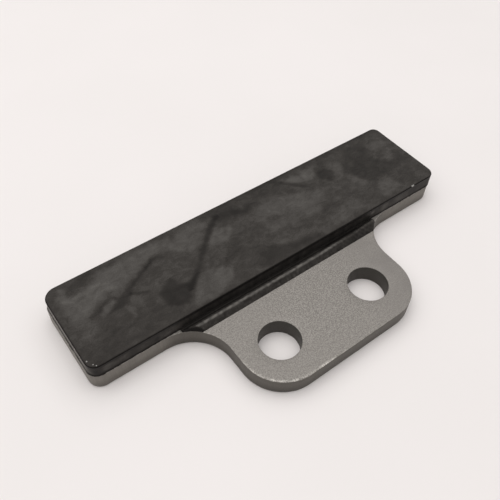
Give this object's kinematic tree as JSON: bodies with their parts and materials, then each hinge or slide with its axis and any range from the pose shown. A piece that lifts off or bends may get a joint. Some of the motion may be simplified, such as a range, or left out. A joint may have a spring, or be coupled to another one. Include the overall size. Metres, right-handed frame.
{
  "type": "timing chain guide",
  "caption": "Flat T-shaped steel plate with bolt holes in its tab and a black slide pad moulded along its bar, which a timing chain runs against.",
  "frame": {"origin": "midway between the two bolt holes, on the plate's underside", "axes": "+X along the bar, +Y from the tab to the pad, +Z from the plate's underside to the pad"},
  "size_m": [0.0699, 0.0335, 0.0056],
  "materials": {
    "plate_steel": "matte grey with a fine blasted grain, no shine",
    "pad_rubber": "satin black-grey with mottled flow marks from the mould"
  },
  "bodies": {
    "root": {"backing_plate": "plate_steel", "slide_pad": "pad_rubber"}
  },
  "joints": []
}
